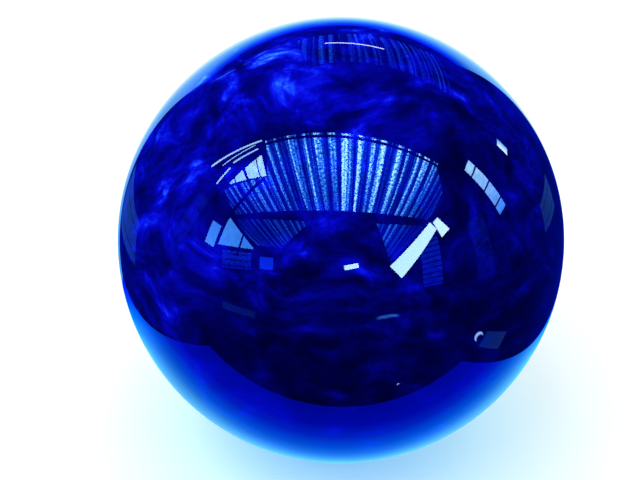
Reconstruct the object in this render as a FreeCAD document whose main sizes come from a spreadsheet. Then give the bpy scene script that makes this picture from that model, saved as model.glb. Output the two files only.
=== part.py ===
import FreeCAD, Part
import os
import Sketcher

# Crystal ball on a low ring stand. Millimetres, +Z up. The origin is on the axis of the
# stand, on the surface that it stands on. Four pieces: a rubber pad under the stand, the
# turned wooden ring, a loose rubber seat in the ring's rebate, and the solid glass ball.

SIZES = {
    # The ball.
    "ball_diameter": 250.0,
    "ball_lowest_height": 6.0,
    # The pad under the stand, with grip grooves in its underside.
    "pad_inner_radius": 30.0,
    "pad_outer_radius": 46.0,
    "pad_thickness": 2.0,
    "groove_depth": 0.7,
    "groove_width": 1.5,
    "first_groove_radius": 33.0,
    "groove_pitch": 4.2,
    # The turned ring: a foot bead, a cove above it and a rounded rim on top.
    "ring_inner_radius": 28.0,
    "foot_radius": 47.0,
    "foot_bead_height": 4.0,
    "foot_bead_radius": 2.5,
    "waist_radius": 45.5,
    "cove_height": 3.6,
    "cove_radius": 1.9,
    "rim_radius": 46.4,
    "rim_bead_radius": 2.8,
    "rebate_outer_radius": 41.5,
    "rebate_inner_radius": 31.5,
    "rebate_floor_height": 7.0,
    "lip_height": 1.0,
    "edge_break": 0.6,
    # The rubber seat, which lies in the rebate with a side clearance and follows the ball.
    "seat_inner_radius": 32.0,
    "seat_outer_radius": 41.0,
    "seat_gap": 0.3,
}

PAD_GROOVES = 3

doc = FreeCAD.newDocument("crystal_ball")
sheet = doc.addObject("Spreadsheet::Sheet", "Sizes")


def fill_sheet():
    """Puts each driving dimension in its own row: its name, and its number under an alias."""
    for row, (name, value) in enumerate(SIZES.items(), start=1):
        sheet.set(f"A{row}", name)
        sheet.set(f"B{row}", str(value))
        sheet.setAlias(f"B{row}", name)
    doc.recompute()


def total(terms):
    """The sum of named sizes; a name after a minus sign is taken away."""
    return sum(-SIZES[name[1:]] if name.startswith("-") else SIZES[name] for name in terms)


def formula(terms):
    """The same sum as an expression on the sheet's cells."""
    text = ""
    for name in terms:
        text += f" - Sizes.{name[1:]}" if name.startswith("-") else f" + Sizes.{name}"
    return text.removeprefix(" + ")


def half_plane_sketch(body):
    """An empty sketch on the body's own XZ plane: x is the radius, y is the height."""
    sketch = body.newObject("Sketcher::SketchObject", body.Name + "_profile")
    plane = next(f for f in body.Origin.OriginFeatures if f.Role == "XZ_Plane")
    sketch.AttachmentSupport = [(plane, "")]
    sketch.MapMode = "FlatFace"
    return sketch


def bind(sketch, kind, geometry, value, expression):
    """Adds one dimension to a sketch and ties it to the sheet."""
    index = sketch.addConstraint(Sketcher.Constraint(kind, *geometry, value))
    sketch.setExpression(f"Constraints[{index}]", expression)


def arc_through(start, end, radius, bulge_right):
    """The short arc of a given radius between two points, bulging to one side of its chord."""
    chord = end.sub(start)
    middle = start.add(chord * 0.5)
    side = FreeCAD.Vector(chord.y, -chord.x, 0).normalize()
    if not bulge_right:
        side = side * -1
    height = (radius ** 2 - (chord.Length / 2) ** 2) ** 0.5
    crown = middle.add(side * (radius - height))
    return Part.Arc(start, crown, end)


def closed_profile(body, corners):
    """A closed outline from corners (radius, height, arc): arc is None for a straight edge to
    the next corner, or (name of the radius, bulge to the right of the way round)."""
    sketch = half_plane_sketch(body)
    points = [FreeCAD.Vector(total(r), total(z), 0) for r, z, _ in corners]
    for index, (_, _, arc) in enumerate(corners):
        start = points[index]
        end = points[(index + 1) % len(points)]
        if arc is None:
            sketch.addGeometry(Part.LineSegment(start, end), False)
        else:
            sketch.addGeometry(arc_through(start, end, SIZES[arc[0]], arc[1]), False)
    # An arc of a sketch always runs anticlockwise, so its first point may be the far corner.
    first = [1 if sketch.getPoint(i, 1).isEqual(point, 1e-4) else 2 for i, point in enumerate(points)]
    for index in range(len(corners)):
        following = (index + 1) % len(corners)
        far_end = 3 - first[index]
        sketch.addConstraint(Sketcher.Constraint("Coincident", index, far_end, following, first[following]))
    for index, (radius, height, arc) in enumerate(corners):
        at = (-1, 1, index, first[index])
        bind(sketch, "DistanceX", at, total(radius), formula(radius))
        if height:
            bind(sketch, "DistanceY", at, total(height), formula(height))
        else:
            sketch.addConstraint(Sketcher.Constraint("PointOnObject", index, first[index], -1))
        if arc is not None:
            bind(sketch, "Radius", (index,), SIZES[arc[0]], f"Sizes.{arc[0]}")
    return sketch


def turned(body, sketch):
    """Turns a profile a full circle about the vertical axis."""
    turn = body.newObject("PartDesign::Revolution", body.Name + "_turned")
    turn.Profile = sketch
    turn.ReferenceAxis = (sketch, ["V_Axis"])
    turn.Angle = 360.0
    body.Tip = turn
    return turn


def base_pad():
    """The flat rubber ring that is stuck under the stand, with round grooves for grip."""
    body = doc.addObject("PartDesign::Body", "base_pad")
    corners = [(["pad_inner_radius"], [], None)]
    for number in range(PAD_GROOVES):
        near = ["first_groove_radius"] + ["groove_pitch"] * number
        far = near + ["groove_width"]
        corners += [(near, [], None), (near, ["groove_depth"], None)]
        corners += [(far, ["groove_depth"], None), (far, [], None)]
    corners += [
        (["pad_outer_radius"], [], None),
        (["pad_outer_radius"], ["pad_thickness"], None),
        (["pad_inner_radius"], ["pad_thickness"], None),
    ]
    turned(body, closed_profile(body, corners))
    return body


def stand_ring():
    """The turned wooden ring, with a rebate in its top that holds the rubber seat."""
    body = doc.addObject("PartDesign::Body", "stand_ring")
    bead_top = ["pad_thickness", "foot_bead_height"]
    cove_top = bead_top + ["cove_height"]
    crown = cove_top + ["rim_bead_radius"]
    floor = ["rebate_floor_height"]
    lip = floor + ["lip_height"]
    corners = [
        (["ring_inner_radius"], ["pad_thickness"], None),
        (["foot_radius"], ["pad_thickness"], ("foot_bead_radius", True)),
        (["foot_radius"], bead_top, None),
        (["waist_radius"], bead_top, ("cove_radius", False)),
        (["waist_radius"], cove_top, None),
        (["rim_radius"], cove_top, ("rim_bead_radius", True)),
        (["rim_radius", "-rim_bead_radius"], crown, None),
        (["rebate_outer_radius", "edge_break"], crown, None),
        (["rebate_outer_radius"], crown + ["-edge_break"], None),
        (["rebate_outer_radius"], floor, None),
        (["rebate_inner_radius"], floor, None),
        (["rebate_inner_radius"], lip, None),
        (["ring_inner_radius", "edge_break"], lip, None),
        (["ring_inner_radius"], lip + ["-edge_break"], None),
    ]
    turned(body, closed_profile(body, corners))
    return body


def rubber_seat():
    """The loose rubber seat: flat below, and hollowed on top to the ball's curve."""
    body = doc.addObject("PartDesign::Body", "rubber_seat")
    sketch = half_plane_sketch(body)
    inner = SIZES["seat_inner_radius"]
    outer = SIZES["seat_outer_radius"]
    floor = SIZES["rebate_floor_height"]
    centre = SIZES["ball_lowest_height"] + SIZES["ball_diameter"] / 2
    reach = SIZES["ball_diameter"] / 2 + SIZES["seat_gap"]
    inner_top = centre - (reach ** 2 - inner ** 2) ** 0.5
    outer_top = centre - (reach ** 2 - outer ** 2) ** 0.5
    hollow = arc_through(
        FreeCAD.Vector(inner, inner_top, 0), FreeCAD.Vector(outer, outer_top, 0), reach, True)
    sketch.addGeometry(hollow, False)
    corners = [(outer, outer_top), (outer, floor), (inner, floor), (inner, inner_top)]
    for start, end in zip(corners, corners[1:]):
        sketch.addGeometry(Part.LineSegment(FreeCAD.Vector(*start, 0), FreeCAD.Vector(*end, 0)), False)
    arc, outside, underside, inside = range(4)
    joined = [(arc, 2, outside, 1), (outside, 2, underside, 1), (underside, 2, inside, 1), (inside, 2, arc, 1)]
    for pair in joined:
        sketch.addConstraint(Sketcher.Constraint("Coincident", *pair))
    for upright in (outside, inside):
        sketch.addConstraint(Sketcher.Constraint("Vertical", upright))
    sketch.addConstraint(Sketcher.Constraint("Horizontal", underside))
    sketch.addConstraint(Sketcher.Constraint("PointOnObject", arc, 3, -2))
    ball_radius = "Sizes.ball_diameter / 2"
    bind(sketch, "DistanceX", (-1, 1, outside, 2), outer, "Sizes.seat_outer_radius")
    bind(sketch, "DistanceX", (-1, 1, inside, 1), inner, "Sizes.seat_inner_radius")
    bind(sketch, "DistanceY", (-1, 1, underside, 1), floor, "Sizes.rebate_floor_height")
    bind(sketch, "DistanceY", (-1, 1, arc, 3), centre, f"Sizes.ball_lowest_height + {ball_radius}")
    bind(sketch, "Radius", (arc,), reach, f"{ball_radius} + Sizes.seat_gap")
    turned(body, sketch)
    return body


def glass_ball():
    """The solid glass ball."""
    ball = doc.addObject("Part::Sphere", "glass_ball")
    ball.setExpression("Radius", "Sizes.ball_diameter / 2")
    ball.setExpression("Placement.Base.z", "Sizes.ball_lowest_height + Sizes.ball_diameter / 2")
    return ball


def check(pieces):
    """Stops if any object failed, or a piece isn't one sound solid."""
    for item in doc.Objects:
        if "Invalid" in item.State or "Error" in item.State:
            raise RuntimeError(f"{item.Label} failed: {item.State}")
    for piece in pieces:
        shape = piece.Shape
        if shape.isNull() or not shape.isValid() or len(shape.Solids) != 1:
            raise RuntimeError(f"{piece.Label} isn't one sound solid")
        print(f"{piece.Label}: {shape.Volume / 1000:.2f} cm3, box {shape.BoundBox}")


fill_sheet()
pieces = [base_pad(), stand_ring(), rubber_seat(), glass_ball()]
doc.recompute()
check(pieces)
os.makedirs("parts", exist_ok=True)
for piece in pieces:
    piece.Label = piece.Name
    piece.Shape.exportStep(f"parts/{piece.Label}.step")
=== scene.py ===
import math

import bmesh
import bpy
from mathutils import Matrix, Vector


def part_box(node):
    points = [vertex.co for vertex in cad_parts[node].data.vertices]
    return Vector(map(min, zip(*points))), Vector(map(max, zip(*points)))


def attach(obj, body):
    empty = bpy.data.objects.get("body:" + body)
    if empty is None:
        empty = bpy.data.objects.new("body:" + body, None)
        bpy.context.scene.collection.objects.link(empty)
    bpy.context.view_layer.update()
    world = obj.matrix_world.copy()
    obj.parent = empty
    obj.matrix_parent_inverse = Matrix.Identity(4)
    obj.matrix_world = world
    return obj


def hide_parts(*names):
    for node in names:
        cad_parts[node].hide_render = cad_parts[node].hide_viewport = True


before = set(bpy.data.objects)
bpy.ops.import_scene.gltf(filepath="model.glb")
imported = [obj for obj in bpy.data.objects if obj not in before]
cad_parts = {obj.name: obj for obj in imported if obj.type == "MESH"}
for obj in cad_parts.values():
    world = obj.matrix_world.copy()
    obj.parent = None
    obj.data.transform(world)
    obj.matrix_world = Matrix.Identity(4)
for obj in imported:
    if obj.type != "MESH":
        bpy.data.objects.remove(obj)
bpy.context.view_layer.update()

MM = 0.001

# The ball, from the frame. Lengths given "in radii" are multiples of its radius.
BALL_LOW, BALL_HIGH = (Vector(corner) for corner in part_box("glass_ball"))
RADIUS = (BALL_HIGH.z - BALL_LOW.z) / 2
CENTRE = Vector((0, 0, BALL_LOW.z + RADIUS))
BALL_CUTS = 63

# The camera, in radii from the ball's centre, looking along +Y and down.
CAMERA_PLACE = Vector((-0.088, -2.484, 1.397))
CAMERA_AIM = Vector((-0.088, 0, 0))
FOCAL_LENGTH = 33.5
CLIP_START = 0.01


def scene_setup():
    """The colour transform, which keeps strong blues as they are."""
    scene = bpy.context.scene
    scene.view_settings.view_transform = "Standard"
    scene.view_settings.look = "None"


def make_camera():
    """The camera at the viewing angle."""
    data = bpy.data.cameras.new("camera")
    data.lens = FOCAL_LENGTH
    data.clip_start = CLIP_START
    camera = bpy.data.objects.new("camera", data)
    bpy.context.collection.objects.link(camera)
    camera.location = CENTRE + RADIUS * CAMERA_PLACE
    aim = CENTRE + RADIUS * CAMERA_AIM
    camera.rotation_euler = (aim - camera.location).to_track_quat("-Z", "Y").to_euler()
    bpy.context.scene.camera = camera


def direction(azimuth, elevation):
    """A unit vector: azimuth in degrees from the front, -Y, towards +X; elevation above level."""
    turn = math.radians(azimuth)
    climb = math.radians(elevation)
    level = math.cos(climb)
    return Vector((level * math.sin(turn), -level * math.cos(turn), math.sin(climb)))


class Graph:
    """A material's or world's node tree, with short ways to add and join nodes."""

    def __init__(self, tree):
        self.tree = tree
        tree.nodes.clear()

    def add(self, kind, inputs=(), output=0, **settings):
        """Adds a node, sets it up, and gives back one of its outputs, or the node if it has none."""
        node = self.tree.nodes.new(kind)
        for name, value in settings.items():
            setattr(node, name, value)
        for key, value in dict(inputs).items():
            if isinstance(value, bpy.types.NodeSocket):
                self.tree.links.new(value, node.inputs[key])
            else:
                node.inputs[key].default_value = value
        return node.outputs[output] if node.outputs else node

    def place(self, kind="Object"):
        """Where a point is, in its object's own space or by its UVs."""
        return self.add("ShaderNodeTexCoord", output=kind)

    def axis(self, vector, letter):
        """One coordinate of a vector."""
        return self.add("ShaderNodeSeparateXYZ", {0: vector}, output=letter)

    def math(self, operation, a, b=0.0, clamp=False):
        return self.add("ShaderNodeMath", {0: a, 1: b}, operation=operation, use_clamp=clamp)

    def joined(self, operation, parts):
        """One value from several, taken two at a time."""
        whole = parts[0]
        for part in parts[1:]:
            whole = self.math(operation, whole, part)
        return whole

    def total(self, *parts):
        return self.joined("ADD", parts)

    def product(self, *parts):
        return self.joined("MULTIPLY", parts)

    def spread(self, value, width):
        """A value from 0 to 1 spread over a width, with zero in its middle."""
        return self.product(self.math("SUBTRACT", value, 0.5), width)

    def vector(self, operation, a, b=(0.0, 0.0, 0.0), output=0):
        return self.add("ShaderNodeVectorMath", {0: a, 1: b}, output=output, operation=operation)

    def scaled(self, a, by):
        return self.add("ShaderNodeVectorMath", {0: a, "Scale": by}, operation="SCALE")

    def distance(self, a, b):
        return self.vector("DISTANCE", a, b, output="Value")

    def length(self, a):
        return self.vector("LENGTH", a, output="Value")

    def ramp(self, value, low, high, to_low=0.0, to_high=1.0, smooth=True):
        """Maps a value from one range to another, with soft or straight ends."""
        kind = "SMOOTHSTEP" if smooth else "LINEAR"
        return self.add("ShaderNodeMapRange", {0: value, 1: low, 2: high, 3: to_low, 4: to_high},
                        interpolation_type=kind, clamp=True)

    def noise(self, vector, scale, detail=4.0, roughness=0.55, output=0):
        inputs = {"Vector": vector, "Scale": scale, "Detail": detail, "Roughness": roughness}
        return self.add("ShaderNodeTexNoise", inputs, output=output)

    def mix(self, factor, a, b, blend="MIX"):
        """Mixes two colours."""
        return self.add("ShaderNodeMix", {0: factor, 6: a, 7: b}, output=2, data_type="RGBA",
                        blend_type=blend)

    def warped(self, vector, scale, amount, detail=3.0):
        """The vector pushed about by noise, which bends whatever is drawn with it."""
        push = self.vector("SUBTRACT", self.noise(vector, scale, detail, output="Color"), (0.5, 0.5, 0.5))
        return self.vector("ADD", vector, self.scaled(push, amount))

    def bump(self, height, strength, depth):
        """A normal that makes the surface look raised where the height is."""
        inputs = {"Strength": strength, "Distance": depth, "Height": height}
        return self.add("ShaderNodeBump", inputs, output="Normal")

    def steps(self, value, last, steps):
        """A colour that changes along a value from 0 to last: steps of (value, colour)."""
        ramp = self.tree.nodes.new("ShaderNodeValToRGB")
        self.tree.links.new(self.math("DIVIDE", value, last), ramp.inputs[0])
        marks = ramp.color_ramp.elements
        while len(marks) > 1:
            marks.remove(marks[0])
        for number, (at, colour) in enumerate(steps):
            mark = marks[0] if number == 0 else marks.new(at / last)
            mark.position = at / last
            mark.color = (*colour, 1)
        return ramp.outputs[0]

    def finish_surface(self, inputs):
        """Adds the surface shader and the output."""
        shader = self.add("ShaderNodeBsdfPrincipled", inputs)
        self.add("ShaderNodeOutputMaterial", {"Surface": shader})

    def finish_glow(self, colour, strength):
        """Adds a shader that only gives light, and the output."""
        light = self.add("ShaderNodeEmission", {"Color": colour, "Strength": strength})
        self.add("ShaderNodeOutputMaterial", {"Surface": light})


def new_material(name):
    """An empty material and its graph."""
    material = bpy.data.materials.new(name)
    material.use_nodes = True
    return material, Graph(material.node_tree)


def link(name, data, material):
    """An object of this mesh and material, in the scene."""
    piece = bpy.data.objects.new(name, data)
    bpy.context.collection.objects.link(piece)
    data.materials.append(material)
    return piece


def mesh_data(name, mesh):
    """The finished mesh, smooth-shaded."""
    for face in mesh.faces:
        face.smooth = True
    data = bpy.data.meshes.new(name)
    mesh.to_mesh(data)
    mesh.free()
    return data


# --- The glass ---

# Lighter (or, below zero, darker) clouds in the glass: (azimuth, elevation, size in radii, stops).
CLOUDS = [
    (-45, 65, 0.15, 1.1),
    (-55, 60, 0.15, 0.6),
    (-20, 60, 0.20, 0.3),
    (-35, 50, 0.15, 0.8),
    (-40, 35, 0.15, 0.6),
    (-60, 40, 0.20, 0.3),
    (-50, 20, 0.20, 0.3),
    (-40, 10, 0.15, 0.4),
    (-20, 20, 0.15, 1.0),
    (5, 55, 0.15, 1.0),
    (-25, 0, 0.12, 1.1),
    (0, -20, 0.10, 0.6),
    (-10, 30, 0.12, 1.1),
    (-20, 50, 0.15, -1.2),
    (20, 55, 0.20, -0.9),
    (0, 10, 0.75, -0.9),
    (25, 15, 0.30, -0.4),
    (-75, 60, 0.30, 0.3),
    (-100, 30, 0.40, 0.4),
    (-130, 55, 0.35, 0.4),
    (-110, 5, 0.35, -0.7),
    (150, 40, 0.45, 0.6),
    (120, 60, 0.35, -0.7),
    (100, 20, 0.35, 0.6),
    (175, 5, 0.30, 0.8),
    (-150, -10, 0.35, 0.6),
    (135, -5, 0.30, -0.5),
]
CLOUD_FADE = 1.3

# How strong each kind of detail is, in stops: one more stop doubles the light.
BROAD_STOPS = 3.0
MOTTLE_STOPS = 10.5
FEATHER_STOPS = 1.1
THREAD_STOPS = 0.6
LAYER_STOPS = 7.0

# Painted light and shade: the glass is lighter high up and to the left, where the lamps fall, lighter
# underneath, where the pale table lights it, and behind, and darkest low in front.
FRONT_STOPS = -4.50
HEIGHT_STOPS = 2.4
UNDER_STOPS = 2.2
BEHIND_STOPS = 1.1

# Directions of the strokes that make the feathery look: turns about X, Y and Z.
STROKES = [(0.2, 0.4, 0.0), (1.1, -0.3, 0.6), (-0.7, 0.9, -0.5)]
STROKE_STRETCH = (2.6, 6.5, 6.5)

# Colours of the glass from its darkest to its milkiest.
GLASS_SHADES = [
    (0.0, (0.0, 0.0, 0.0)),
    (0.15, (0.0004, 0.0004, 0.14)),
    (0.40, (0.001, 0.0010, 0.36)),
    (0.60, (0.0015, 0.003, 0.54)),
    (0.85, (0.003, 0.012, 0.69)),
    (1.20, (0.007, 0.045, 0.79)),
    (1.80, (0.025, 0.15, 0.86)),
    (2.40, (0.08, 0.30, 0.94)),
]
MILKIEST = GLASS_SHADES[-1][0]

# Small bubbles in the glass, each shown by a painted highlight: (azimuth, elevation, radius in radii).
BUBBLES = [(27, 7, 0.020), (10, 0, 0.005), (-65, -10, 0.006), (140, 15, 0.018), (-120, 35, 0.010)]
BUBBLE_HIGHLIGHT_COLOUR = (0.25, 0.45, 0.90, 1)
BUBBLE_HIGHLIGHT_SHOWS = 0.8

# Fine pale threads, along the shortest way between two places: (azimuth, elevation) twice.
FILAMENTS = [
    ((-60, 55), (-50, 65)),
    ((5, 15), (10, 15)),
    ((-140, 20), (-128, 32)),
    ((95, 42), (108, 38)),
]
FILAMENT_COLOUR = (0.04, 0.18, 0.85, 1)
FILAMENT_SHOWS = 0.4
FILAMENT_EDGE, FILAMENT_CORE = 0.007, 0.001

POLISH_ROUGHNESS = 0.015
GLASS_IOR = 1.5
POLISH_TINT = (0.2, 0.6, 1.0, 1)


def bubble_painted_highlights(g, place):
    """A painted highlight: the bright crescent at one side of each bubble."""
    marks = []
    for azimuth, elevation, size in BUBBLES:
        middle = direction(azimuth, elevation)
        dark_side = middle + Vector((0.3, 0.0, -0.45)) * size
        inside = g.ramp(g.distance(place, tuple(middle)), size, size * 0.82)
        outside = g.ramp(g.distance(place, tuple(dark_side)), size * 0.65, size * 0.95)
        marks.append(g.product(inside, outside))
    return g.joined("MAXIMUM", marks)


def filament_marks(g, place):
    """Thin pale lines, fading towards their ends."""
    marks = []
    for first, last in FILAMENTS:
        start, end = direction(*first), direction(*last)
        normal = start.cross(end).normalized()
        aside = g.math("ABSOLUTE", g.vector("DOT_PRODUCT", place, tuple(normal), output="Value"))
        reach = (end - start).length / 2
        along = g.ramp(g.distance(place, tuple((start + end) / 2)), reach, reach * 0.5)
        marks.append(g.product(g.ramp(aside, FILAMENT_EDGE, FILAMENT_CORE), along))
    return g.joined("MAXIMUM", marks)


def cloud_stops(g, place, mottle):
    """Soft blobs at the places in CLOUDS, broken up by the mottle."""
    bent = g.warped(place, 4.0, 0.18)
    blobs = []
    for azimuth, elevation, size, strength in CLOUDS:
        away = g.distance(bent, tuple(direction(azimuth, elevation)))
        blobs.append(g.ramp(away, size * CLOUD_FADE, 0.0, 0.0, strength))
    return g.product(g.total(*blobs), g.ramp(mottle, 0.35, 0.62, 0.25, 1.0))


def feather_stops(g, bent):
    """Patches of fine parallel strokes, each patch in its own direction."""
    layers = []
    for number, turn in enumerate(STROKES):
        drawn = g.add("ShaderNodeMapping", {"Vector": bent, "Rotation": turn, "Scale": STROKE_STRETCH,
                                            "Location": (number * 3.1, 0.7, number * 1.7)})
        strokes = g.ramp(g.noise(drawn, 2.2, 5.0, 0.60), 0.30, 0.70, -1.0, 1.0, smooth=False)
        where = g.ramp(g.noise(drawn, 0.6, 2.0, 0.5), 0.46, 0.58)
        layers.append(g.product(strokes, where))
    return g.product(g.total(*layers), FEATHER_STOPS)


def thread_stops(g, curled, broad):
    """Fine ridges, only where the glass is broadly lighter."""
    inputs = {"Vector": curled, "Scale": 9.0, "Detail": 4.0, "Roughness": 0.5, "Lacunarity": 2.1,
              "Offset": 1.0, "Gain": 1.3}
    ridges = g.add("ShaderNodeTexNoise", inputs, noise_type="RIDGED_MULTIFRACTAL", normalize=True)
    return g.product(g.ramp(ridges, 0.60, 0.95), g.ramp(broad, -0.4, 0.5), THREAD_STOPS)


def layer_stops(g, place, bent):
    """Flat-lying layers in the lower part of the ball."""
    layers = g.noise(g.vector("MULTIPLY", bent, (1.0, 1.0, 5.0)), 4.0, 5.0, 0.6)
    return g.product(g.spread(layers, LAYER_STOPS), g.ramp(g.axis(place, "Z"), 0.55, 0.15))


def painted_light_stops(g, place):
    """Painted light and shade: how light the glass is by where it is in the ball."""
    height = g.axis(place, "Z")
    leftward = g.product(g.axis(place, "X"), -1.0)
    upward = g.product(g.math("MAXIMUM", height, -0.2), HEIGHT_STOPS)
    under = g.ramp(height, -0.30, -0.95, 0.0, UNDER_STOPS, smooth=False)
    behind = g.ramp(g.axis(place, "Y"), -0.1, 0.7, 0.0, BEHIND_STOPS)
    return g.total(leftward, upward, under, behind, FRONT_STOPS)


def glass_material():
    """Deep cobalt glass, nearly opaque, with milky blue clouds and fibres inside, painted light and shade by
    place, and painted highlights on its bubbles.
    """
    material, g = new_material("cobalt_glass")
    place = g.scaled(g.place(), 1 / RADIUS)
    bent = g.warped(place, 2.2, 0.35, 2.0)
    curled = g.warped(bent, 7.0, 0.07, 2.0)
    broad = g.spread(g.noise(bent, 2.6, 2.0, 0.5), BROAD_STOPS)
    mottle = g.noise(curled, 7.5, 6.0, 0.62)
    # The stops sum the clouds and fibres with painted light and shade by place in the ball.
    stops = g.total(broad, g.spread(mottle, MOTTLE_STOPS), feather_stops(g, bent),
                    thread_stops(g, curled, broad), layer_stops(g, place, bent),
                    cloud_stops(g, place, mottle), painted_light_stops(g, place))
    colour = g.steps(g.math("POWER", 2.0, stops), MILKIEST, GLASS_SHADES)
    filaments = filament_marks(g, g.warped(place, 9.0, 0.03))
    filaments = g.product(filaments, g.ramp(mottle, 0.35, 0.6), FILAMENT_SHOWS)
    colour = g.mix(filaments, colour, FILAMENT_COLOUR)
    # Painted highlights on the bubbles.
    colour = g.mix(g.product(bubble_painted_highlights(g, place), BUBBLE_HIGHLIGHT_SHOWS), colour, BUBBLE_HIGHLIGHT_COLOUR)
    g.finish_surface({"Base Color": colour, "Roughness": POLISH_ROUGHNESS, "IOR": GLASS_IOR,
                      "Specular Tint": POLISH_TINT})
    return material


def quad_sphere(name, radius, cuts):
    """A sphere of even four-sided faces: a divided cube with its points moved out to the radius."""
    mesh = bmesh.new()
    bmesh.ops.create_cube(mesh, size=2.0)
    bmesh.ops.subdivide_edges(mesh, edges=mesh.edges[:], cuts=cuts, use_grid_fill=True)
    for vertex in mesh.verts:
        x, y, z = (math.tan(part * math.pi / 4) for part in vertex.co)
        vertex.co = Vector((x, y, z)).normalized() * radius
    return mesh_data(name, mesh)


def make_ball():
    """The polished ball."""
    data = quad_sphere("glass_ball_polished", RADIUS, BALL_CUTS)
    ball = link("glass_ball_polished", data, glass_material())
    ball.location = CENTRE
    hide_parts("glass_ball")
    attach(ball, "ball")


# --- The stand ---

# Radii and heights in millimetres, as in the CAD: the hole, the outside's bead and cove, the rebate
# that holds the seat, and the lip inside it.
HOLE = 28.0
BEAD, BEAD_TOP, BEAD_CURVE = 47.0, 6.0, 2.5
COVE, COVE_TOP, COVE_CURVE = 45.5, 9.5, 1.9
RIM, RING_TOP, RIM_CURVE = 43.6, 12.4, 2.8
REBATE, REBATE_FLOOR = 41.5, 7.0
LIP, LIP_TOP = 31.5, 8.0
SEAT_INNER, SEAT_OUTER = 32.0, 41.0
SEAT_EDGE, SEAT_EASE = 0.3, 0.25
SEAT_GAP = 0.3
SEAT_STEPS = 12
PAD_INNER, PAD_OUTER, PAD_TOP = 30.0, 46.0, 2.0
GROOVES, GROOVE_FIRST, GROOVE_PITCH = 3, 33.0, 4.2
GROOVE_WIDTH, GROOVE_DEPTH = 1.5, 0.7

TURN_STEPS = 160
SHARP = math.radians(32)

WOOD_DARK = (0.020, 0.0075, 0.0035, 1)
WOOD_LIGHT = (0.105, 0.042, 0.018, 1)
WOOD_PORE = (0.010, 0.004, 0.002, 1)
SEAT_SHADE, SEAT_ROUGHNESS = (0.016, 0.016, 0.018), 0.55
PAD_SHADE, PAD_ROUGHNESS = (0.035, 0.035, 0.037), 0.75


def wood_material():
    """Dark turned wood under lacquer, the grain running along X."""
    material, g = new_material("lacquered_wood")
    bent = g.warped(g.place(), 14.0, 0.012)
    bands = g.noise(g.vector("MULTIPLY", bent, (18.0, 150.0, 220.0)), 1.0, 4.0, 0.6)
    pores = g.noise(g.vector("MULTIPLY", bent, (120.0, 1500.0, 1500.0)), 1.0, 2.0, 0.6)
    colour = g.mix(g.ramp(bands, 0.36, 0.66), WOOD_DARK, WOOD_LIGHT)
    colour = g.mix(g.ramp(pores, 0.56, 0.72), colour, WOOD_PORE)
    sunk = g.product(g.ramp(pores, 0.50, 0.70), -1.0)
    g.finish_surface({"Base Color": colour, "Roughness": 0.34, "Coat Weight": 0.45,
                      "Coat Roughness": 0.08, "Normal": g.bump(sunk, 0.12, 0.2 * MM)})
    return material


def rubber_material(name, shade, roughness):
    """Soft dark rubber with a faint moulded grain."""
    material, g = new_material(name)
    grain = g.noise(g.place(), 900.0, 3.0, 0.6)
    dust = g.noise(g.place(), 60.0, 4.0, 0.6)
    dark = tuple(part * 0.75 for part in shade)
    light = tuple(part * 1.35 for part in shade)
    colour = g.mix(g.ramp(dust, 0.35, 0.70), (*dark, 1), (*light, 1))
    g.finish_surface({"Base Color": colour, "Roughness": roughness,
                      "Normal": g.bump(grain, 0.25, 0.3 * MM)})
    return material


def arc_points(start, end, radius, bulge_right, steps=10):
    """Points of the short arc between two points, leaving out the last one."""
    start, end = Vector(start), Vector(end)
    chord = end - start
    side = Vector((chord.y, -chord.x)).normalized() * (1 if bulge_right else -1)
    middle = (start + end) / 2 - side * math.sqrt(radius ** 2 - (chord.length / 2) ** 2)
    first = math.atan2(start.y - middle.y, start.x - middle.x)
    sweep = math.atan2(end.y - middle.y, end.x - middle.x) - first
    sweep = (sweep + math.pi) % (2 * math.pi) - math.pi
    turns = [first + sweep * step / steps for step in range(steps)]
    return [(middle.x + radius * math.cos(turn), middle.y + radius * math.sin(turn)) for turn in turns]


def turned_piece(name, outline, material, node, body):
    """A piece turned about the stand's axis, from a closed outline of (radius, height) in mm."""
    mesh = bmesh.new()
    rings = []
    for step in range(TURN_STEPS):
        turn = 2 * math.pi * step / TURN_STEPS
        across, along = math.cos(turn) * MM, math.sin(turn) * MM
        rings.append([mesh.verts.new((radius * across, radius * along, height * MM))
                      for radius, height in outline])
    for step, here in enumerate(rings):
        there = rings[(step + 1) % TURN_STEPS]
        for index in range(len(outline)):
            following = (index + 1) % len(outline)
            mesh.faces.new((here[index], there[index], there[following], here[following]))
    bmesh.ops.recalc_face_normals(mesh, faces=mesh.faces)
    for edge in mesh.edges:
        edge.smooth = edge.calc_face_angle() < SHARP
    piece = link(name, mesh_data(name, mesh), material)
    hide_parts(node)
    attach(piece, body)


def make_ring():
    """The turned ring: foot bead, cove and rim bead outside, a rebate for the seat on top."""
    outline = [(HOLE + 0.3, PAD_TOP), (BEAD - 0.4, PAD_TOP)]
    outline += arc_points((BEAD, PAD_TOP + 0.2), (BEAD, BEAD_TOP), BEAD_CURVE, True)
    outline += [(BEAD, BEAD_TOP), (COVE + 0.2, BEAD_TOP)]
    outline += arc_points((COVE, BEAD_TOP + 0.1), (COVE, COVE_TOP), COVE_CURVE, False)
    outline += [(COVE, COVE_TOP), (COVE + 0.7, COVE_TOP + 0.1)]
    outline += arc_points((COVE + 0.9, COVE_TOP + 0.2), (RIM, RING_TOP), RIM_CURVE, True)
    outline += [(RIM, RING_TOP), (REBATE + 0.7, RING_TOP), (REBATE + 0.2, RING_TOP - 0.2),
                (REBATE, RING_TOP - 0.6), (REBATE, REBATE_FLOOR), (LIP, REBATE_FLOOR),
                (LIP, LIP_TOP - 0.2), (LIP - 0.2, LIP_TOP), (HOLE + 0.6, LIP_TOP),
                (HOLE + 0.2, LIP_TOP - 0.2), (HOLE, LIP_TOP - 0.6), (HOLE, PAD_TOP + 0.3)]
    turned_piece("stand_ring_turned", outline, wood_material(), "stand_ring", "stand")


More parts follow.
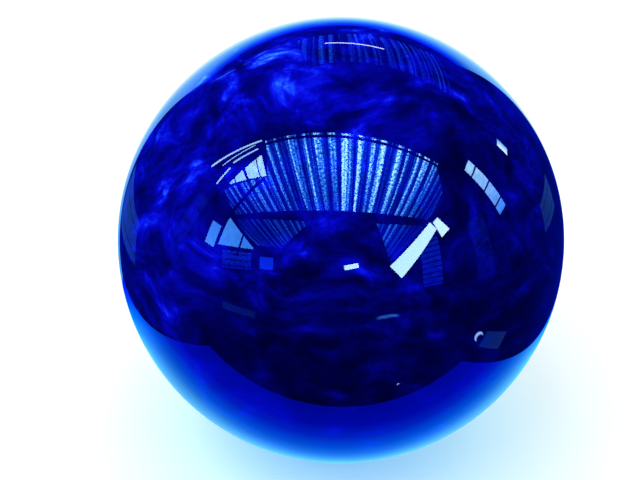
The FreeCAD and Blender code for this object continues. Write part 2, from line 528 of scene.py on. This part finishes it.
def make_seat():
    """The loose rubber seat, hollowed to the ball's curve."""
    middle, reach = CENTRE.z / MM, RADIUS / MM + SEAT_GAP
    inner, outer = SEAT_INNER + SEAT_EDGE, SEAT_OUTER - SEAT_EDGE
    hollow = [inner + (outer - inner) * step / SEAT_STEPS for step in range(SEAT_STEPS + 1)]
    outline = [(radius, middle - math.sqrt(reach ** 2 - radius ** 2)) for radius in hollow]
    inner_top, outer_top = outline[0][1], outline[-1][1]
    outline += [(SEAT_OUTER, outer_top - SEAT_EASE), (SEAT_OUTER, REBATE_FLOOR + SEAT_EDGE),
                (outer, REBATE_FLOOR), (inner, REBATE_FLOOR), (SEAT_INNER, REBATE_FLOOR + SEAT_EDGE),
                (SEAT_INNER, inner_top - SEAT_EASE)]
    material = rubber_material("seat_rubber_black", SEAT_SHADE, SEAT_ROUGHNESS)
    turned_piece("rubber_seat_moulded", outline, material, "rubber_seat", "seat")


def make_pad():
    """The rubber pad under the stand, with grip grooves in its underside."""
    outline = [(PAD_INNER, 0.15), (PAD_INNER + 0.15, 0.0)]
    for groove in range(GROOVES):
        near = GROOVE_FIRST + GROOVE_PITCH * groove
        far = near + GROOVE_WIDTH
        outline += [(near, 0.0), (near, GROOVE_DEPTH - 0.15), (near + 0.2, GROOVE_DEPTH),
                    (far - 0.2, GROOVE_DEPTH), (far, GROOVE_DEPTH - 0.15), (far, 0.0)]
    outline += [(PAD_OUTER - 0.2, 0.0), (PAD_OUTER, 0.2), (PAD_OUTER, PAD_TOP), (PAD_INNER, PAD_TOP)]
    material = rubber_material("pad_rubber_grey", PAD_SHADE, PAD_ROUGHNESS)
    turned_piece("base_pad_moulded", outline, material, "base_pad", "stand")


# --- The floor ---

# Half its width in metres, and its colour and glow by distance from the stand's axis in radii; near the
# stand both are painted blue light, for the light that the glass casts.
FLOOR_REACH = 12.0
FLOOR_FADE = 4.0
FLOOR_PAINTED_LIGHT = [
    (0.4, (0.45, 0.80, 0.97)),
    (0.8, (0.76, 0.94, 0.97)),
    (1.4, (0.92, 0.96, 0.97)),
]
FLOOR_PAINTED_GLOW = [
    (0.0, (0.0, 0.12, 0.40)),
    (0.47, (0.10, 0.29, 0.44)),
    (0.8, (0.05, 0.22, 0.30)),
    (1.2, (0.05, 0.12, 0.12)),
    (2.2, (0.06, 0.06, 0.05)),
]


def make_floor():
    """The plain pale floor, with painted blue light and a painted glow close by, for the light that the
    glass casts on it.
    """
    material, g = new_material("floor_painted_blue_light")
    away = g.math("DIVIDE", g.length(g.vector("MULTIPLY", g.place(), (1.0, 1.0, 0.0))), RADIUS)
    painted_light = g.steps(away, FLOOR_FADE, FLOOR_PAINTED_LIGHT)
    glow = g.steps(away, FLOOR_FADE, FLOOR_PAINTED_GLOW)
    # The colour near the stand and the glow are painted light.
    g.finish_surface({"Base Color": painted_light, "Roughness": 0.9, "Emission Color": glow,
                      "Emission Strength": 1.0, "Specular IOR Level": 0.0})
    reach = FLOOR_REACH
    corners = [(-reach, -reach, 0), (reach, -reach, 0), (reach, reach, 0), (-reach, reach, 0)]
    data = bpy.data.meshes.new("floor")
    data.from_pydata(corners, [], [(0, 1, 2, 3)])
    floor = link("floor", data, material)
    floor.visible_glossy = False


# --- What the polish mirrors ---

# The pale table round the ball and the pale board behind it, in radii from the ball's centre, with
# their colours by distance from the axis and by share of the board's height.
GROUND = -CENTRE.z / RADIUS + 0.003
TABLE_LEFT, TABLE_RIGHT, TABLE_FRONT, TABLE_BACK = -2.12, 1.72, -1.65, 1.11
BOARD_LEFT, BOARD_RIGHT, BOARD_TOP = -1.44, 1.24, 1.45
TABLE_FADE = 4.0
TABLE_STEPS = [
    (0.30, (0.18, 0.56, 1.0)),
    (0.62, (0.07, 0.44, 1.0)),
    (0.78, (0.015, 0.23, 1.0)),
    (0.92, (0.0, 0.12, 1.0)),
    (1.1, (0.0, 0.035, 1.0)),
    (1.3, (0.0, 0.008, 1.0)),
]
BOARD_STEPS = [
    (0.0, (0.15, 0.50, 1.0)),
    (0.30, (0.30, 0.64, 1.0)),
    (0.50, (0.52, 0.78, 1.0)),
    (0.80, (0.45, 0.72, 1.0)),
    (0.87, (0.32, 0.60, 1.0)),
    (0.92, (0.08, 0.34, 1.0)),
    (0.96, (0.01, 0.10, 1.0)),
    (1.0, (0.0, 0.01, 1.0)),
]
BOARD_MIDDLE = (0.0, 0.14, 1.0, 1)
BOARD_SIDES = (0.45, 0.85, 1.25, 1)

# Overhead banks of lamps, at this height in radii; their corners are in units of the height.
BANK_HEIGHT = 9.0
BANK_FRONT = [(-0.6, -0.22), (0.9, -0.38)]
BANK_EDGE_NEAR, BANK_EDGE_FAR = 0.045, 0.027
BANKS = {
    "bank_main": BANK_FRONT + [(1.15, -0.65), (1.25, -1.2), (-1.6, -1.0), (-1.45, -0.5), (-0.7, -0.55)],
    "bank_edge": ([(x, y + BANK_EDGE_NEAR) for x, y in BANK_FRONT]
                  + [(x, y + BANK_EDGE_FAR) for x, y in reversed(BANK_FRONT)]),
    "bank_rear_left": [(-1.7, -1.1), (-0.4, -1.3), (-1.2, -2.1), (-1.8, -2.0)],
    "bank_rear_right": [(0.45, -1.35), (1.3, -1.35), (1.2, -2.9), (1.0, -2.5)],
    "front_roof": [(-0.3, 1.3), (1.0, 1.6), (1.0, 0.6), (-0.2, 0.5)],
}
BANK_HAZE = 4.2
BANK_PITCH, ROOF_PITCH = 9.6, 17.0
BANK_STEPS = [
    (0.0, (0.0, 0.01, 1.0)),
    (0.3, (0.03, 0.20, 1.0)),
    (0.55, (0.22, 0.50, 1.0)),
    (0.8, (0.66, 0.74, 0.78)),
    (1.0, (0.88, 0.68, 0.54)),
]
BANK_POWER, BANK_PEAK_POWER = 26.0, 25.0

# How far the windows and, in front of them, the black bars are from the ball, in radii.
FAR, NEARER = 9.0, 8.6

# Pale slats and black bars, each a strip from one direction to another: (first, last, width).
SLATS = [
    ((-85, 35), (-75, 57), 0.12),
    ((-76, 43), (-71, 54), 0.11),
    ((-75, 33), (-75, 41), 0.12),
    ((-80, 39), (-75, 54), 0.06),
]
BARS = [
    ((-59, 25), (-52, 47), 0.24),
    ((-70, 45), (-58, 42), 0.15),
    ((-48, 24), (-48, 14), 0.14),
]


def card(name, corners, material):
    """A flat reflector that only polish shows; its UVs run along and across its first edge."""
    points = [Vector(corner) for corner in corners]
    data = bpy.data.meshes.new(name)
    data.from_pydata([tuple(CENTRE + RADIUS * point) for point in points], [], [range(len(points))])
    along = (points[1] - points[0]).normalized()
    diagonal = points[-1] - points[0]
    across = (diagonal - along * diagonal.dot(along)).normalized()
    size = max((point - points[0]).dot(across) for point in points)
    places = data.uv_layers.new(name="UVMap").uv
    for number, point in enumerate(points):
        offset = point - points[0]
        places[number].vector = (offset.dot(along) / size, offset.dot(across) / size)
    reflector = link(name, data, material)
    reflector.visible_camera = False
    reflector.visible_diffuse = False
    reflector.visible_shadow = False
    reflector.visible_transmission = False


def window(name, middle, width, height, material, lean=0.0, taper=0.0):
    """A plain four-sided window: its middle as (azimuth, elevation), its width and height in degrees.

    It leans to the right by `lean` degrees, and its top is shorter by the share `taper`.
    """
    out = direction(*middle)
    level = Vector((-out.y, out.x, 0.0)).normalized()
    steep = out.cross(level)
    turn = math.radians(lean)
    right = level * math.cos(turn) - steep * math.sin(turn)
    up = level * math.sin(turn) + steep * math.cos(turn)
    reach = math.tan(math.radians(width / 2))
    rise = math.tan(math.radians(height / 2))
    top = reach * (1 - taper)
    corners = [(-reach, -rise), (reach, -rise), (top, rise), (-top, rise)]
    card(name, [(out + right * x + up * y) * FAR for x, y in corners], material)


def strip(name, first, last, width, material, distance=FAR):
    """A straight strip between two directions, its width in radii."""
    start, end = direction(*first) * distance, direction(*last) * distance
    side = (end - start).cross(start + end).normalized() * width / 2
    card(name, [start - side, end - side, end + side, start + side], material)


def glow_material(name, colour, strength):
    """An even light."""
    material, g = new_material(name)
    g.finish_glow((*colour, 1), strength)
    return material


def pane_material(name, low, high, strength, bars=3.0, bar=0.06, across=False, uneven=0.25):
    """A window-like soft light, uneven, changing colour along its length, with thin dark bars."""
    material, g = new_material(name)
    place = g.place("UV")
    along = g.axis(place, "Y")
    colour = g.mix(g.math("MULTIPLY", along, 1.0, clamp=True), (*low, 1), (*high, 1))
    counted = g.axis(place, "X") if across else along
    rung = g.math("ABSOLUTE", g.math("SUBTRACT", g.math("FRACT", g.product(counted, bars)), 0.5))
    colour = g.mix(g.ramp(rung, bar * 0.6, bar, smooth=False), (0, 0, 0, 1), colour)
    patches = g.noise(g.vector("MULTIPLY", place, (1.0, 3.0, 1.0)), 5.0, 3.0, 0.7)
    power = g.ramp(patches, 0.35, 0.65, strength * (1 - uneven), strength * (1 + uneven), smooth=False)
    g.finish_glow(colour, power)
    return material


def bank_material(name, strength, haze=BANK_HAZE, pitch=BANK_PITCH):
    """A bank of long lamps behind stained glass: uneven stripes along Y, brightest in the middle."""
    material, g = new_material(name)
    place = g.scaled(g.place(), 1 / (RADIUS * BANK_HEIGHT))
    across, back = g.axis(place, "X"), g.axis(place, "Y")

    # The stripes, each brighter at one side, drift a little from even spacing.
    drawn = g.vector("MULTIPLY", place, (1.0, 0.012, 0.0))
    sway = g.spread(g.noise(drawn, 5.0, 3.0), 0.22)
    part = g.math("FRACT", g.product(g.total(across, sway), pitch))
    wave = g.product(g.ramp(part, 0.02, 0.14), g.ramp(part, 0.70, 0.32, 0.0, 1.0))

    # Fine streaks, uneven lamps and stains.
    fine = g.ramp(g.noise(drawn, 48.0, 3.0, 0.7), 0.35, 0.70, -0.15, 0.60, smooth=False)
    uneven = g.ramp(g.noise(drawn, 11.0, 3.0, 0.8), 0.36, 0.64, 0.10, 1.25, smooth=False)
    stain = g.noise(g.vector("MULTIPLY", place, (1.0, 0.8, 0.0)), 50.0, 2.0, 0.8)
    stain = g.ramp(stain, 0.36, 0.64, 0.25, 1.55, smooth=False)
    middle = g.product(g.ramp(across, -1.3, 0.1, 0.45, 1.0), g.ramp(across, 1.15, 0.65, 0.25, 1.0),
                       g.ramp(back, -1.15, -0.35, 0.68, 1.1))
    light = g.product(g.total(wave, fine), uneven, stain, middle)
    light = g.math("MULTIPLY", light, strength, clamp=True)

    power = g.total(g.ramp(light, 0.0, 0.8, 0.0, BANK_POWER, smooth=False),
                    g.ramp(light, 0.8, 1.0, 0.0, BANK_PEAK_POWER, smooth=False),
                    g.product(middle, haze))
    g.finish_glow(g.steps(light, 1.0, BANK_STEPS), power)
    return material


def make_table():
    """The pale table that the polish mirrors low down, painted bluer away from the ball as shade."""
    material, g = new_material("table_glow")
    away = g.length(g.vector("MULTIPLY", g.place(), (0.45 / RADIUS, 1 / RADIUS, 0.0)))
    power = g.ramp(away, 0.30, 1.0, 1.2, 4.4, smooth=False)
    g.finish_glow(g.steps(away, TABLE_FADE, TABLE_STEPS), power)
    card("table_card", [(TABLE_LEFT, TABLE_FRONT, GROUND), (TABLE_RIGHT, TABLE_FRONT, GROUND),
                        (TABLE_RIGHT, TABLE_BACK, GROUND), (TABLE_LEFT, TABLE_BACK, GROUND)], material)


def make_board():
    """The board that the polish mirrors at the top edge: bluer at its sides and towards its top.

    It is dimmer and bluer towards its middle too, which the ball shades.
    """
    material, g = new_material("board_glow")
    rise = g.math("DIVIDE", g.axis(g.place(), "Z"), CENTRE.z + BOARD_TOP * RADIUS)
    flat = g.vector("MULTIPLY", g.place(), (0.8 / RADIUS, 0.0, 1 / RADIUS))
    aside = g.distance(flat, (0.0, 0.0, CENTRE.z / RADIUS - 0.1))
    colour = g.mix(g.ramp(aside, 1.12, 0.70), g.steps(rise, 1.0, BOARD_STEPS), BOARD_MIDDLE)
    colour = g.mix(g.ramp(aside, 1.08, 1.40), colour, BOARD_SIDES, blend="MULTIPLY")
    power = g.product(g.ramp(rise, 0.4, 1.0, 1.25, 2.4, smooth=False), g.ramp(aside, 0.35, 1.10))
    g.finish_glow(colour, power)
    card("board_card", [(TABLE_LEFT, TABLE_BACK, GROUND), (TABLE_RIGHT, TABLE_BACK, GROUND),
                        (BOARD_RIGHT, TABLE_BACK, BOARD_TOP), (BOARD_LEFT, TABLE_BACK, BOARD_TOP)], material)


def make_banks():
    """The striped banks overhead."""
    rear = bank_material("bank_left_glow", 0.60)
    glow = {
        "bank_main": bank_material("bank_glow", 0.94),
        "bank_edge": bank_material("bank_edge_glow", 1.1, haze=0.0),
        "bank_rear_left": rear,
        "bank_rear_right": rear,
        "front_roof": bank_material("roof_glow", 0.10, haze=0.0, pitch=ROOF_PITCH),
    }
    for name, corners in BANKS.items():
        card(name, [(x * BANK_HEIGHT, y * BANK_HEIGHT, BANK_HEIGHT) for x, y in corners], glow[name])


def make_bright_windows():
    """The windows and slats that show as highlights."""
    day = pane_material("day_glow", (0.95, 0.66, 0.50), (0.50, 0.50, 0.52), 42.0)
    side = pane_material("side_glow", (0.04, 0.20, 0.60), (0.64, 0.66, 0.70), 27.0)
    sky = pane_material("sky_glow", (0.25, 0.52, 1.0), (0.18, 0.42, 1.0), 17.0, bars=0.0, uneven=0.15)
    white = glow_material("white_glow", (0.85, 0.50, 0.38), 72.0)
    slats = glow_material("slat_glow", (0.80, 0.67, 0.62), 30.0)
    tube = glow_material("tube_glow", (0.56, 0.56, 0.60), 22.0)
    window("window_left", (-64, 44), 10, 16, day, lean=-153, taper=0.95)
    window("window_right", (83, 26), 5.5, 22, side, lean=-5)
    window("window_high", (108, 24), 5, 3, side, lean=-90)
    window("window_back", (4, 18), 6, 2, white, lean=-10)
    window("sky_left", (-50, 20), 12, 16, sky, lean=95, taper=0.95)
    window("sky_left_far", (-63, 17), 5, 9, sky)
    window("sky_right", (34, 21), 7.5, 25, white, lean=56, taper=0.45)
    window("sky_right_high", (49, 26), 5, 7, white, lean=-20, taper=0.4)
    strip("tube", (-175, 47), (160, 47), 0.08, tube)
    for number, (first, last, width) in enumerate(SLATS, start=1):
        strip(f"slat_{number}", first, last, width, slats)


def make_dim_windows():
    """The dim panes, walls and streaks, and the black bars in front of the windows."""
    yard = pane_material("yard_glow", (0.0, 0.02, 1.0), (0.02, 0.08, 1.0), 6.0, bar=0.10, uneven=1.0)
    shade = pane_material("shade_glow", (0.0, 0.02, 1.0), (0.01, 0.05, 1.0), 7.0, bars=9.0, bar=0.12,
                          uneven=0.5)
    rim = pane_material("rim_glow", (0.03, 0.15, 1.0), (0.05, 0.22, 1.0), 0.8, bars=2.0, bar=0.03)
    wall = pane_material("wall_glow", (0.0, 0.01, 1.0), (0.01, 0.05, 1.0), 3.6, bars=26.0, bar=0.30,
                         across=True, uneven=0.8)
    dusk = glow_material("dusk_glow", (0.01, 0.06, 1.0), 13.0)
    haze = glow_material("haze_glow", (0.04, 0.16, 1.0), 1.4)
    black = glow_material("black_glow", (0.0, 0.0, 0.0), 0.0)
    window("shade_left", (-48, 12), 14, 7, yard, lean=-15)
    window("shade_low", (-34, 15), 6, 5, dusk, lean=-10)
    window("shade_right", (40, 14), 9, 19, shade, lean=5)
    window("pane_far_left", (-123, -12), 26, 13, rim)
    window("pane_far_right", (117, -5), 17, 8, rim, lean=8)
    window("pane_low_right", (72, -28), 13, 6, haze, lean=20)
    window("wall_left", (-79, 11), 7, 31, wall, lean=10)
    window("wall_right", (66, 10), 9, 23, wall, lean=5)
    window("streak_low", (-44, -8), 15, 3, haze)
    for number, (first, last, width) in enumerate(BARS, start=1):
        strip(f"bar_{number}", first, last, width, black, distance=NEARER)


# --- Light ---

# Soft lamps, kept out of the reflections: (place, size, power).
LAMPS = {
    "key": (Vector((-0.6, -0.5, 1.2)), 0.9, 6.0),
    "fill": (Vector((0.9, -0.9, 0.8)), 0.8, 2.0),
}

# The room, as the camera, the polish and everything else see it.
ROOM_SEEN = (0.985, 0.99, 0.99, 1)
ROOM_MIRRORED = (0.0, 0.006, 0.35, 1)
ROOM_LIGHT = (1.03, 1.04, 1.05, 1)


def make_lamps():
    """Soft overhead light."""
    for name, (place, size, power) in LAMPS.items():
        data = bpy.data.lights.new(name, "AREA")
        data.shape = "DISK"
        data.size = size
        data.energy = power
        lamp = bpy.data.objects.new(name, data)
        bpy.context.collection.objects.link(lamp)
        lamp.location = place
        lamp.rotation_euler = (CENTRE - place).to_track_quat("-Z", "Y").to_euler()
        lamp.visible_glossy = False


def make_world():
    """A pale room for the camera, a dim blue one for reflections."""
    world = bpy.data.worlds.new("world")
    bpy.context.scene.world = world
    world.use_nodes = True
    g = Graph(world.node_tree)
    room = g.mix(g.add("ShaderNodeLightPath", output="Is Glossy Ray"), ROOM_LIGHT, ROOM_MIRRORED)
    room = g.mix(g.add("ShaderNodeLightPath", output="Is Camera Ray"), room, ROOM_SEEN)
    g.add("ShaderNodeOutputWorld", {"Surface": g.add("ShaderNodeBackground", {"Color": room})})


scene_setup()
make_camera()
make_floor()
make_table()
make_board()
make_banks()
make_bright_windows()
make_dim_windows()
make_lamps()
make_world()
make_pad()
make_ring()
make_seat()
make_ball()
